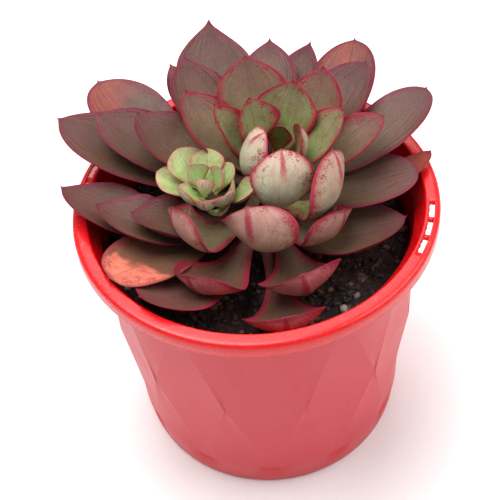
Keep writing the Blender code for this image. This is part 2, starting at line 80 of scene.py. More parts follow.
# Leaves: outline as (distance along, share of the half width), then one row a leaf:
# name, crown, azimuth, reach to the tip, sideways swing, tip height, root height, width,
# turn of the blade in degrees, where it curls, cup, thickness, tip bluntness
OUTLINE = ((0.0, 0.16), (0.15, 0.2), (0.32, 0.42), (0.5, 0.78), (0.64, 0.97), (0.72, 1.0))
LONG_STALKS = {
    "lower_leaf_front": 2.0, "lower_leaf_front_right": 1.5, "lower_leaf_front_left": 1.4,
    "lower_leaf_left_upper": 1.5, "middle_leaf_front": 1.4, "middle_leaf_front_left": 1.4,
    "middle_leaf_front_right": 1.4,
}
CROWNS = {"low": (1.0, 4.0), "main": (10.0, 2.0), "offset": (-16.0, -6.0)}
LEAVES = (
    # lying low on the potting mix and the rim
    ("lower_leaf_front", "low", 5, 59, 1, 109.6, 100, 26, 120, 3.5, 4.5, 2.8, 0.4),
    ("lower_leaf_front_right", "low", 15, 46, 2, 113, 104, 27, 135, 3.0, 5, 3.0, 0.4),
    ("lower_leaf_front_left", "low", -41, 63, 7, 112.6, 96.3, 22.5, 48, 3.0, 3, 2.2, 0.45),
    ("lower_leaf_left_upper", "low", -31, 49, 5, 114.8, 106.5, 23.5, 118, 3.2, 4.2, 2.2, 0.4),
    ("withered_leaf_left", "low", -54.5, 64, 0, 110.8, 94.1, 19.5, 3, 1.5, 2, 1.4, 0.35),
    ("outer_leaf_left_low", "low", -92, 69, 8.5, 116.9, 99.7, 21, 36, 1.6, 4, 2.5, 0.7),
    ("outer_leaf_left_mid", "low", -83, 57, 9, 116.5, 102.0, 20, 38, 1.6, 4, 2.5, 0.7),
    ("outer_leaf_left_near", "low", -75, 46, 6, 115.5, 103.4, 17, 34, 1.6, 4, 1.9, 0.7),
    ("outer_leaf_right_low", "low", 69, 54, -8, 109, 98.8, 24, 40, 1.6, 5, 2.8, 0.6),
    ("outer_leaf_right", "low", 88, 57, -3.5, 114.5, 102.6, 22.5, 5, 1.5, 2, 2.7, 0.45),
    ("curled_leaf_right", "low", 97, 64, -9, 113, 95, 12, 5, 1.5, 2, 1.6, 0.5),
    ("outer_leaf_right_back", "low", 113, 70, -5, 125.5, 105.2, 21, 15, 1.5, 2, 2.7, 0.45),
    ("outer_leaf_back_right", "low", 145, 74, -5, 124, 101.5, 24, 25, 1.5, 3, 3.0, 0.5),
    ("outer_leaf_back_right_upper", "low", 131, 58, 0, 131, 106, 21, 25, 1.5, 3, 3.0, 0.6),
    ("outer_leaf_back_mid", "low", 155, 59, 1, 130, 101.8, 16.5, 25, 1.5, 3, 2.8, 0.9),
    ("outer_leaf_back", "low", 170, 57, 0, 131, 108.5, 20, 20, 1.5, 3, 3.0, 0.9),
    ("outer_leaf_back_left", "low", -169, 64, 3, 137, 102, 26.4, 20, 1.5, 3, 3.0, 1.1),
    ("outer_leaf_left_back", "low", -134, 79, 4, 119.5, 100.5, 26, 5, 1.5, 3, 3.0, 0.5),
    ("outer_leaf_far_left", "low", -112, 75, 2, 126, 106, 25, 32, 1.5, 4, 3.0, 0.7),
    ("outer_leaf_left_back_mid", "low", -117, 62, 2, 127, 108, 23, 32, 1.5, 4, 3.0, 0.7),
    ("outer_leaf_left_back_near", "low", -119, 46, 3, 130, 111, 21, 32, 1.5, 4, 3.0, 0.7),
    ("outer_leaf_left_upper", "low", -153, 48, 3, 137, 109, 20, 22, 1.5, 4, 3.0, 0.9),
    ("outer_leaf_left_upper_rear", "low", -149, 54, 1, 131.5, 105.6, 15, 14, 1.5, 4, 2.6, 0.9),
    # middle ring round the main crown
    ("middle_leaf_back", "main", -166, 37, 0, 142, 112, 24, 25, 1.3, 4, 3.5, 0.9),
    ("middle_leaf_back_right", "main", 148, 34, -3, 140, 111, 20, 30, 1.3, 4, 3.5, 0.9),
    ("middle_leaf_right", "main", 104, 38, -2, 132, 110, 17, 26, 1.3, 4, 3.2, 0.6),
    ("middle_leaf_left", "main", -126, 38, 2, 140.3, 113.6, 19.3, 30, 1.3, 4, 3.1, 0.9),
    ("middle_leaf_front_left", "main", -67, 41, 7, 122.5, 112, 26, 135, 2.4, 4.5, 2.6, 0.4),
    ("middle_leaf_front", "main", -29, 26.5, 6, 127, 107.9, 27.5, 165, 1.8, 4.8, 2.4, 0.4),
    ("middle_leaf_front_right", "main", 42, 29, -5, 120, 110.6, 23, 132, 1.8, 4.0, 2.7, 0.5),
    ("inner_leaf_back", "main", 160, 20, 0, 143, 114, 21, 30, 1.2, 4, 3.5, 0.9),
    ("inner_leaf_right_back", "main", 104, 23, -1, 140, 114, 16, 30, 1.2, 3, 2.8, 0.7),
    ("inner_leaf_left_back", "main", -148, 17, 0, 141, 116.5, 16, 30, 1.2, 5, 3.5, 1.0),
    ("inner_leaf_left", "main", -119, 24, 0, 142, 115, 12, 30, 1.2, 4, 3.2, 0.9),
    ("inner_leaf_front_right", "main", 58, 19.5, -5, 137, 111.9, 22.5, 150, 1.1, 3.5, 3.0, 0.5),
    ("bud_leaf_front", "main", 0, 9, 1, 138, 113.2, 22, 165, 1.0, 3, 3.2, 0.6),
    ("bud_leaf_left", "main", -78, 4, 0, 138, 114.8, 18.5, 105, 1.0, 3, 2.7, 0.6),
    ("bud_leaf_right", "main", 95, 7, 0, 138, 117, 13, 75, 1.0, 2.5, 2.5, 0.7),
    ("bud_leaf_back", "main", 165, 3, 0, 137, 118, 9, 60, 1.1, 2, 2.2, 0.7),
    # offset rosette
    ("offset_leaf_left", "offset", -120, 20, 0, 122, 114.5, 11, 25, 1.3, 2, 2.2, 0.7),
    ("offset_leaf_left_back", "offset", -150, 19, 0, 126, 116, 12, 25, 1.3, 2, 2.2, 0.7),
    ("offset_leaf_back", "offset", 176, 14.3, 0, 127, 117.5, 10, 25, 1.3, 2, 1.9, 0.7),
    ("offset_leaf_back_right", "offset", 132, 12.5, 0, 124.6, 115.7, 6.8, 25, 1.3, 2, 1.4, 0.7),
    ("offset_leaf_rear", "offset", 180, 20, 0, 120.3, 113.4, 7.5, 20, 1.3, 1.8, 1.4, 0.7),
    ("offset_leaf_front_left", "offset", -79, 9.5, 2, 126.3, 117.1, 9.8, 40, 1.3, 3, 1.9, 0.7),
    ("offset_leaf_front", "offset", -8, 9, 0, 125, 116.5, 10, 60, 1.3, 3, 2.0, 0.6),
    ("offset_leaf_front_right", "offset", 54, 10, 0, 126, 115.5, 11, 60, 1.3, 3, 2.2, 0.6),
    ("offset_leaf_right", "offset", 80, 17, 0, 124, 114.5, 9, 40, 1.3, 2, 2.2, 0.6),
    ("offset_leaf_under", "offset", 20, 9.5, 0, 117.5, 111.9, 5.6, 26, 1.3, 2, 1.2, 0.6),
    ("offset_leaf_inner_left", "offset", -140, 7, 0, 128, 118.5, 8, 50, 1.1, 3, 1.8, 0.6),
    ("offset_leaf_inner_right", "offset", 110, 6, 0, 128, 118.5, 8, 45, 1.1, 2, 1.8, 0.6),
    ("offset_bud", "offset", -20, 2, 0, 128, 119, 6, 60, 1.0, 2, 1.6, 0.6),
)

MIDLINE_STEPS = 60
LEAF_LENGTHWISE = 52
LEAF_AROUND = 40

# Studio: lamps as place in metres, disc size and power; camera place, lens and directions
LAMPS = {
    "key": ((-0.3, 0.1, 1.25), 0.9, 14.0),
    "fill": ((0.75, 0.0, 0.95), 0.9, 6.0),
    "back": ((0.0, 0.8, 1.0), 0.9, 5.0),
}
BACKDROP_STRENGTH = 0.42
FLOOR_SIZE = 3.0
CAMERA_PLACE = (0.0, -0.26986, 0.38775)
CAMERA_LENS = 79.13
CAMERA_RIGHT = (0.996, -0.0615, -0.0655)
CAMERA_AHEAD = (-0.0086, 0.6605, -0.7508)

# Living leaves are fuller than the plain solids they dress: factors on width, thickness and cup
WIDER = {"outer": 1.07, "lower": 1.08, "middle": 1.07, "inner": 1.05, "withered": 1.3, "offset": 1.2}
WIDER_LEAVES = {
    "outer_leaf_left_near": 1.25, "outer_leaf_left_mid": 1.14, "outer_leaf_left_low": 1.1,
    "outer_leaf_right_low": 1.12, "lower_leaf_front_left": 1.18, "lower_leaf_left_upper": 1.12,
    "offset_leaf_under": 1.5, "offset_leaf_rear": 1.4, "offset_leaf_back_right": 1.35,
}
THICKER = {"outer": 1.5, "lower": 1.35, "middle": 1.35, "inner": 1.2, "offset": 1.4}
DEEPER = {"outer": 1.4, "lower": 1.2, "middle": 1.2, "inner": 1.15, "withered": 1.4}


def direction(azimuth):
    """Unit vector in the plan for an azimuth in degrees, 0 towards the front."""
    angle = math.radians(azimuth)
    return Vector((math.sin(angle), -math.cos(angle), 0.0))


def rgb(red, green, blue):
    """Linear colour from 8-bit display values."""
    linear = []
    for value in (red, green, blue):
        share = value / 255.0
        linear.append(share / 12.92 if share <= 0.04045 else ((share + 0.055) / 1.055) ** 2.4)
    return tuple(linear)


def smooth(low, high, value):
    """Smooth step from 0 at low to 1 at high."""
    share = min(1.0, max(0.0, (value - low) / (high - low)))
    return share * share * (3.0 - 2.0 * share)


def blend(a, b, share):
    return tuple(x + (y - x) * share for x, y in zip(a, b))


# ---------------------------------------------------------------- shader helpers

class Graph:
    """Adds shader nodes to a new material and joins their sockets."""

    def __init__(self, name):
        self.material = bpy.data.materials.new(name)
        self.material.use_nodes = True
        self.tree = self.material.node_tree
        self.shader = self.tree.nodes["Principled BSDF"]

    def put(self, socket, value):
        if isinstance(value, bpy.types.NodeSocket):
            self.tree.links.new(value, socket)
        elif isinstance(value, tuple) and len(value) == 3 and socket.type == "RGBA":
            socket.default_value = (*value, 1.0)
        else:
            socket.default_value = value

    def value(self, name):
        node = self.tree.nodes.new("ShaderNodeAttribute")
        node.attribute_name = name
        return node.outputs["Fac"]

    def colour(self, name):
        node = self.tree.nodes.new("ShaderNodeAttribute")
        node.attribute_name = name
        return node.outputs["Color"]

    def place(self):
        return self.tree.nodes.new("ShaderNodeTexCoord").outputs["Object"]

    def combine(self, x, y, z):
        node = self.tree.nodes.new("ShaderNodeCombineXYZ")
        for socket, value in zip(node.inputs, (x, y, z)):
            self.put(socket, value)
        return node.outputs[0]

    def noise(self, scale, detail=3.0, rough=0.55, vector=None):
        node = self.tree.nodes.new("ShaderNodeTexNoise")
        self.put(node.inputs["Vector"], vector or self.place())
        node.inputs["Scale"].default_value = scale
        node.inputs["Detail"].default_value = detail
        node.inputs["Roughness"].default_value = rough
        return node.outputs["Fac"]

    def cells(self, scale, vector=None):
        node = self.tree.nodes.new("ShaderNodeTexVoronoi")
        self.put(node.inputs["Vector"], vector or self.place())
        node.inputs["Scale"].default_value = scale
        return node.outputs["Distance"]

    def step(self, value, low, high, out_low=0.0, out_high=1.0):
        node = self.tree.nodes.new("ShaderNodeMapRange")
        node.interpolation_type = "SMOOTHSTEP"
        self.put(node.inputs["Value"], value)
        self.put(node.inputs["From Min"], low)
        self.put(node.inputs["From Max"], high)
        self.put(node.inputs["To Min"], out_low)
        self.put(node.inputs["To Max"], out_high)
        return node.outputs["Result"]

    def math(self, operation, a, b=0.0, clamp=False):
        node = self.tree.nodes.new("ShaderNodeMath")
        node.operation = operation
        node.use_clamp = clamp
        self.put(node.inputs[0], a)
        self.put(node.inputs[1], b)
        return node.outputs[0]

    def mix(self, share, a, b, kind="MIX"):
        node = self.tree.nodes.new("ShaderNodeMix")
        node.data_type = "RGBA"
        node.blend_type = kind
        self.put(node.inputs["Factor"], share)
        self.put(node.inputs[6], a)
        self.put(node.inputs[7], b)
        return node.outputs[2]

    def bump(self, height, strength, distance, normal=None):
        node = self.tree.nodes.new("ShaderNodeBump")
        node.inputs["Strength"].default_value = strength
        node.inputs["Distance"].default_value = distance
        self.put(node.inputs["Height"], height)
        if normal:
            self.put(node.inputs["Normal"], normal)
        return node.outputs["Normal"]

    def finish(self, colour, roughness, normal=None, **settings):
        self.put(self.shader.inputs["Base Color"], colour)
        self.put(self.shader.inputs["Roughness"], roughness)
        if normal:
            self.put(self.shader.inputs["Normal"], normal)
        for name, value in settings.items():
            self.put(self.shader.inputs[name.replace("_", " ")], value)
        return self.material


# ---------------------------------------------------------------- leaf materials

def leaf_material(name, margin, margin_width, speckle, speckle_share, keel, bloom, flesh, rough):
    """Fleshy leaf skin: mottled tissue, coloured margin, keel streak, speckles and a waxy bloom."""
    g = Graph(name)
    edge = g.value("edge")
    across = g.value("across")
    along = g.value("along")
    outer = g.value("outer")
    seed = g.value("seed")
    # long soft streaks that run with the leaf
    grain_space = g.combine(g.math("MULTIPLY", across, 5.0), g.math("MULTIPLY", along, 2.2), seed)
    grain = g.noise(2.0, 4.0, 0.6, grain_space)
    cloud = g.noise(130.0, 4.0, 0.6)
    fine = g.noise(900.0, 3.0, 0.6)
    dust = g.noise(2600.0, 2.0, 0.6)
    colour = g.colour("tissue")
    browned = g.mix(1.0, colour, (0.62, 0.5, 0.44), "MULTIPLY")
    colour = g.mix(g.step(cloud, 0.35, 0.66, 0.0, 0.55), colour, browned)
    colour = g.mix(g.step(grain, 0.42, 0.7, 0.0, 0.3), colour, g.mix(0.6, colour, margin))
    # faint vein down the middle of the inner face
    wander = g.math("MULTIPLY", g.math("SUBTRACT", grain, 0.5), 0.16)
    off_middle = g.math("ABSOLUTE", g.math("ADD", across, wander))
    vein = g.math("MULTIPLY", g.step(off_middle, 0.05, 0.0), g.step(along, 0.35, 0.75))
    vein = g.math("MULTIPLY", vein, g.math("SUBTRACT", 1.0, outer))
    colour = g.mix(g.math("MULTIPLY", vein, 0.45), colour, g.mix(0.6, colour, (0.08, 0.02, 0.03)))
    # bloom: pale wax, patchy and finely grained
    wax = g.math("MULTIPLY", g.step(cloud, 0.3, 0.62), g.step(dust, 0.38, 0.62, 0.35, 1.0))
    colour = g.mix(g.math("MULTIPLY", wax, bloom), colour, (0.38, 0.27, 0.25))
    # speckles, thicker near the margin and towards the tip
    dots = g.cells(1500.0)
    dot_size = g.step(g.noise(260.0, 2.0), 0.36, 0.62, 0.0, 0.46)
    near = g.math("ADD", g.step(edge, 7.0, 1.0, 0.42, 1.0), g.math("MULTIPLY", along, 0.2))
    dot_size = g.math("MULTIPLY", dot_size, near)
    dot = g.step(g.math("SUBTRACT", dots, dot_size), 0.04, -0.04)
    colour = g.mix(g.math("MULTIPLY", dot, speckle_share), colour, speckle)
    # keel streak on the outer face
    keel_off = g.math("ADD", across, g.math("MULTIPLY", g.math("SUBTRACT", fine, 0.5), 0.1))
    streak = g.step(g.math("ABSOLUTE", keel_off), 0.15, 0.04)
    streak = g.math("MULTIPLY", streak, g.step(along, 0.66, 0.86))
    streak = g.math("MULTIPLY", streak, outer)
    colour = g.mix(g.math("MULTIPLY", streak, keel), colour, margin)
    # margin line, and the flush beside it
    wobble = g.math("MULTIPLY", g.math("SUBTRACT", g.noise(330.0, 3.0), 0.5), margin_width * 1.6)
    rim = g.math("ADD", edge, wobble)
    reach = g.step(along, 0.15, 0.6, 0.25, 1.0)
    flush = g.math("MULTIPLY", g.step(rim, margin_width * 3.4, margin_width * 0.6), reach)
    colour = g.mix(g.math("MULTIPLY", flush, 0.6), colour, margin)
    line = g.math("MULTIPLY", g.step(rim, margin_width * 1.3, margin_width * 0.6), reach)
    colour = g.mix(g.math("MULTIPLY", line, 0.85), colour, margin)
    tip = g.step(along, 0.955, 0.99)
    colour = g.mix(g.math("MULTIPLY", tip, 0.9), colour, g.mix(0.5, margin, (0.1, 0.01, 0.015)))
    ripples = g.bump(grain, 0.35, 0.0016)
    skin = g.bump(g.math("ADD", fine, g.math("MULTIPLY", dust, 0.4)), 0.3, 0.0004, ripples)
    shine = g.step(cloud, 0.3, 0.7, rough - 0.07, rough + 0.1)
    shine = g.math("ADD", shine, g.math("MULTIPLY", dust, 0.06))
    return g.finish(
        colour, shine, skin, Subsurface_Weight=flesh, Subsurface_Scale=0.003,
        Subsurface_Radius=(1.0, 0.6, 0.35), Specular_IOR_Level=0.36,
    )


CRIMSON = rgb(168, 26, 62)
PURPLE_RED = rgb(116, 28, 52)
ROSE_RED = rgb(148, 26, 52)
PINK = rgb(206, 84, 106)
DRY_RED = rgb(140, 48, 52)
LEAF_SKINS = {
    "leaf_dark": leaf_material("leaf_dark", PURPLE_RED, 0.95, rgb(96, 26, 34), 0.5, 0.6, 0.12, 0.03, 0.42),
    "leaf_rose": leaf_material("leaf_rose", ROSE_RED, 1.15, rgb(130, 28, 40), 0.8, 0.85, 0.12, 0.04, 0.44),
    "leaf_pale": leaf_material("leaf_pale", CRIMSON, 1.0, rgb(150, 28, 42), 0.9, 0.85, 0.1, 0.06, 0.42),
    "leaf_offset": leaf_material("leaf_offset", PINK, 0.32, rgb(176, 70, 80), 0.25, 0.75, 0.14, 0.12, 0.42),
    "leaf_withered": leaf_material("leaf_withered", DRY_RED, 0.7, rgb(120, 30, 30), 0.6, 0.3, 0.06, 0.03, 0.6),
}

# Tissue colours: inner face at root, middle and tip, then outer face at root, middle and tip
TISSUE = {
    "outer": (
        rgb(84, 76, 46), rgb(98, 78, 52), rgb(96, 56, 52),
        rgb(116, 72, 66), rgb(132, 76, 84), rgb(124, 46, 62),
    ),
    "lower": (
        rgb(78, 62, 42), rgb(84, 66, 44), rgb(98, 54, 50),
        rgb(112, 78, 64), rgb(186, 134, 122), rgb(178, 100, 106),
    ),
    "middle": (
        rgb(126, 128, 84), rgb(120, 110, 78), rgb(118, 84, 74),
        rgb(158, 150, 112), rgb(184, 166, 138), rgb(180, 132, 122),
    ),
    "inner": (
        rgb(138, 168, 82), rgb(144, 160, 102), rgb(150, 142, 106),
        rgb(184, 196, 144), rgb(192, 194, 158), rgb(192, 156, 138),
    ),
    "bud": (
        rgb(140, 172, 82), rgb(136, 162, 88), rgb(150, 144, 100),
        rgb(196, 208, 164), rgb(204, 206, 174), rgb(204, 178, 158),
    ),
    "offset": (
        rgb(144, 190, 92), rgb(160, 198, 116), rgb(184, 192, 136),
        rgb(170, 206, 126), rgb(192, 216, 156), rgb(212, 190, 166),
    ),
    "withered": (
        rgb(92, 72, 50), rgb(100, 74, 52), rgb(128, 80, 56),
        rgb(116, 76, 64), rgb(150, 88, 74), rgb(164, 86, 74),
    ),
    "curled": (
        rgb(108, 60, 32), rgb(140, 66, 32), rgb(150, 58, 38),
        rgb(122, 78, 70), rgb(142, 82, 80), rgb(134, 58, 60),
    ),
}


def slot_of(name):
    if name.startswith("offset"):
        return "leaf_offset"
    if name.startswith(("inner", "bud")):
        return "leaf_pale"
    if name.startswith(("middle", "lower")):
        return "leaf_rose"
    if name.startswith(("withered", "curled")):
        return "leaf_withered"
    return "leaf_dark"


def patch(name, u, s, outer, colour, point):
    """Blushes and dried patches that single leaves have."""
    ragged = noise.noise(point * 140.0) * 0.5 + noise.noise(point * 420.0) * 0.3
    if name == "outer_leaf_left_back":
        return blend(colour, rgb(158, 58, 36), 0.8 * smooth(0.74, 1.0, u + 0.3 * ragged + 0.16 * s))
    if name == "outer_leaf_back_right":
        return blend(colour, rgb(150, 62, 38), 0.8 * smooth(0.7, 0.98, u + 0.3 * ragged + 0.16 * s))
    if name == "withered_leaf_left":
        dried = smooth(0.76, 0.8, u + 0.16 * ragged + 0.1 * s)
        colour = blend(colour, rgb(222, 122, 98), dried)
        vein = smooth(0.1, 0.02, abs(noise.noise(point * 240.0)))
        return blend(colour, rgb(184, 50, 56), 0.65 * dried * max(vein, smooth(0.8, 1.0, abs(s))))
    if name == "inner_leaf_back" and not outer:
        return blend(colour, rgb(112, 156, 62), 0.7 * smooth(0.8, 0.3, u) * (1.0 - abs(s)))
    if name == "middle_leaf_back" and not outer:
        return blend(colour, rgb(96, 74, 50), 0.45 * smooth(0.5, 0.8, u + ragged) * (1.0 - abs(s)))
    return colour


# ---------------------------------------------------------------- leaf shapes

def stem_point(path, radii, height):
    """Point on a stem's axis at a height, and the stem's radius there."""
    for i in range(len(path) - 1):
        low, high = Vector(path[i]), Vector(path[i + 1])
        if height <= high.z or i == len(path) - 2:
            share = min(1.0, max(0.0, (height - low.z) / (high.z - low.z)))
            return low.lerp(high, share), radii[i] + (radii[i + 1] - radii[i]) * share


def outline_share(along, roundness):
    """Half width at a distance along the leaf, with a small drawn-out point at the tip."""
    blade = min(1.0, along / 0.985)
    if blade >= OUTLINE[-1][0]:
        rest = (blade - OUTLINE[-1][0]) / (1.0 - OUTLINE[-1][0])
        share = max(0.0, 1.0 - rest ** 2.0) ** roundness
    else:
        share = OUTLINE[-1][1]
        for i in range(len(OUTLINE) - 1):
            if blade <= OUTLINE[i + 1][0]:
                before = OUTLINE[max(0, i - 1)]
                start, end = OUTLINE[i], OUTLINE[i + 1]
                after = OUTLINE[min(len(OUTLINE) - 1, i + 2)]
                t = (blade - start[0]) / (end[0] - start[0])
                in_slope = (end[1] - before[1]) / max(1e-6, end[0] - before[0])
                out_slope = (after[1] - start[1]) / max(1e-6, after[0] - start[0])
                span = end[0] - start[0]
                share = (
                    (2 * t ** 3 - 3 * t ** 2 + 1) * start[1] + (t ** 3 - 2 * t ** 2 + t) * span * in_slope
                    + (-2 * t ** 3 + 3 * t ** 2) * end[1] + (t ** 3 - t ** 2) * span * out_slope
                )
                break
    point = 0.01 + 0.16 * max(0.0, (1.0 - along) / 0.05) ** 1.2 if along > 0.9 else 0.0
    return max(share, min(point, 0.2))


def midline(row, steps):
    """Points along the middle of one leaf, from its root on the stem to its tip, in mm."""
    _, crown, azimuth, reach, swing, tip_height, root_height, _, turn, curl = row[:10]
    outward = direction(azimuth)
    side = direction(azimuth + 90.0)
    path, radii = (BRANCH, BRANCH_RADII) if crown == "offset" else (TRUNK, TRUNK_RADII)
    tip = Vector((*CROWNS[crown], tip_height)) + outward * reach
    root, radius = stem_point(path, radii, root_height)
    away = (tip + side * swing * 3.0 - root) * Vector((1.0, 1.0, 0.0)) if reach > 9.4 else outward
    root += away.normalized() * (radius + ROOT_SINK)
    chord = tip - root
    ahead = chord.normalized()
    up = ahead.cross(side).normalized()
    points, x, y = [(0.0, 0.0)], 0.0, 0.0
    for i in range(steps):
        angle = math.radians(turn) * ((i + 0.5) / steps) ** curl
        x += math.cos(angle) / steps
        y += math.sin(angle) / steps
        points.append((x, y))
    scale = chord.length / math.hypot(x, y)
    lean = math.atan2(y, x)
    line = []
    for i, (x, y) in enumerate(points):
        u = i / steps
        forward = (x * math.cos(lean) + y * math.sin(lean)) * scale
        rise = (y * math.cos(lean) - x * math.sin(lean)) * scale
        line.append(root + ahead * forward + up * rise + side * (4.0 * swing * u * (1.0 - u)))
    return line, side


def make_leaf(row, number):
    """One leaf as a closed lofted skin, with the values its material reads."""
    name, width, cup, thick, bluntness = row[0], row[7], row[10], row[11], row[12]
    kind = name.split("_")[0]
    steps = MIDLINE_STEPS
    line, side = midline(row, steps)
    shape = bmesh.new()
    layers = {}
    for key in ("edge", "across", "along", "outer", "seed"):
        layers[key] = shape.verts.layers.float.new(key)
    tissue = shape.verts.layers.float_color.new("tissue")
    seed = Vector((number * 7.31, number * 3.17, number * 5.77))
    colours = TISSUE[kind]
    soft = 0.5 if kind in ("outer", "withered", "curled", "lower") else 0.2
    width *= WIDER_LEAVES.get(name, WIDER.get(kind, 1.0))
    thick *= THICKER.get(kind, 1.0)
    cup *= DEEPER.get(kind, 1.0)
    tint = 1.0 + 0.08 * math.sin(number * 12.9)
    rows = []
    for i in range(LEAF_LENGTHWISE):
        u = 1.0 - (1.0 - i / (LEAF_LENGTHWISE - 1)) ** 1.15
        place = min(u * steps, steps - 0.001)
        k = int(place)
        centre = line[k].lerp(line[k + 1], place - k)
        tangent = (line[min(steps, k + 3)] - line[max(0, k - 2)]).normalized()
        across = (side - tangent * side.dot(tangent)).normalized()
        normal = tangent.cross(across)
        share = outline_share(u ** LONG_STALKS.get(name, 1.0), bluntness)
        body = thick * (0.55 + 0.45 * math.sin(math.pi * min(1.0, u / 0.9)) ** 0.7) * (1.0 - 0.75 * u ** 4)
        body *= 0.35 + 0.65 * smooth(0.0, 0.3, share)
        lift = cup * share * share * min(1.0, u / 0.5)
        half = width / 2.0 * share
        ring = []
        for j in range(LEAF_AROUND):
            t = 2.0 * math.pi * j / LEAF_AROUND
            s = math.cos(t)
            top = math.sin(t) >= 0.0
            full = 0.7 * (1.0 - s * s) + 0.3 * abs(math.sin(t))
            depth = (0.3 if top else -0.7) * full * body
            rise = lift * s * s + depth
            if not top:
                keel = 0.22 * thick * math.exp(-(s / 0.2) ** 2)
                rise -= keel * smooth(0.45, 0.85, u) * smooth(1.0, 0.9, u)
            rough = noise.noise(centre * 0.09 + across * s * 1.1 + seed)
            rise += soft * rough * share
            ripple = 1.0 + 0.02 * noise.noise(Vector((u * 6.0, number * 1.7, 1.0 if s > 0 else -1.0)))
            point = (centre + across * (half * s * ripple) + normal * rise) * MM
            vert = shape.verts.new(point)
            outside = 0.0 if top else 1.0
            vert[layers["edge"]] = half * (1.0 - abs(s))
            vert[layers["across"]] = s
            vert[layers["along"]] = u
            vert[layers["outer"]] = outside
            vert[layers["seed"]] = number * 3.7
            three = colours[3:] if outside else colours[:3]
            if u < 0.5:
                colour = blend(three[0], three[1], smooth(0.1, 0.5, u))
            else:
                colour = blend(three[1], three[2], smooth(0.5, 1.0, u))
            colour = tuple(tint * value for value in colour)
            colour = patch(name, u, s, outside, colour, point)
            vert[tissue] = (*colour, 1.0)
            ring.append(vert)
        rows.append(ring)
    for low, high in zip(rows, rows[1:]):
        for j in range(LEAF_AROUND):
            k = (j + 1) % LEAF_AROUND
            shape.faces.new((low[j], low[k], high[k], high[j]))
    shape.faces.new(rows[0])
    shape.faces.new(rows[-1])
    bmesh.ops.recalc_face_normals(shape, faces=shape.faces)
    leaf = new_object("skin_" + name, shape, LEAF_SKINS[slot_of(name)])
    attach(leaf, "root")
    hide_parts(name)
    return leaf


def new_object(name, shape, *materials):
    mesh = bpy.data.meshes.new(name)
    shape.to_mesh(mesh)
    shape.free()
    for material in materials:
        mesh.materials.append(material)
    mesh.shade_smooth()
    made = bpy.data.objects.new(name, mesh)
    bpy.context.scene.collection.objects.link(made)
    return made


# ---------------------------------------------------------------- pot

def cone_radius(height):
    return FOOT_RADIUS + (COLLAR_RADIUS - FOOT_RADIUS) * height / FACET_TOP


def facet_ring(share, inset):
    """One ring of the wall at a share of its height: flat kites and the spandrels between them."""
    height = FACET_FOOT + (FACET_TOP - FACET_FOOT) * share
    cone = cone_radius(height)
    half = 180.0 / FACETS
    kite = max(half * (1.0 - abs(2.0 * share - 1.0)), 4.4 if share < 0.5 else 0.3)
    kite = min(kite, half - 0.15)
    edge_radius = (cone - FACET_INSET) / math.cos(math.radians(kite))
    foot = 0.45 * smooth(0.16, 0.0, share)
    ring = []
    for facet in range(FACETS):
        middle = FACET_TURN + 2.0 * half * facet
        for i in range(KITE_STEPS):
            off = -kite + 2.0 * kite * i / KITE_STEPS
            radius = (cone - FACET_INSET) / math.cos(math.radians(off))
            ring.append((middle + off, radius - inset, height))
        for i in range(GAP_STEPS):
            x = i / GAP_STEPS
            off = kite + (2.0 * half - 2.0 * kite) * x
            dip = (cone - FACET_INSET - edge_radius) * 0.25 * math.sin(math.pi * x)
            swell = foot * smooth(0.0, 0.12, min(x, 1.0 - x))
            ring.append((middle + off, edge_radius + dip + swell - inset, height))
    return ring


def round_ring(radius, height):
    """Plain ring whose columns stand under those of the wall."""
    columns = facet_ring(0.0 if height < 50.0 else 1.0, 0.0)
    return [(angle, radius, height) for angle, _, _ in columns]


def fillet(corner, start, end, radius, steps=4):
    """Points that round a profile's corner between two directions."""
    a = (Vector(start) - Vector(corner)).normalized() * radius + Vector(corner)
    b = (Vector(end) - Vector(corner)).normalized() * radius + Vector(corner)
    points = []
    for i in range(steps + 1):
        t = i / steps
        points.append(tuple(a * (1 - t) ** 2 + Vector(corner) * (2 * t * (1 - t)) + b * t ** 2))
    return points


def rounded(profile):
    """Profile of (radius, height, corner radius) as plain points with its corners rounded."""
    points = []
    for i, (radius, height, corner) in enumerate(profile):
        if corner and 0 < i < len(profile) - 1:
            points += fillet((radius, height), profile[i - 1][:2], profile[i + 1][:2], corner)
        else:
            points.append((radius, height))
    return points


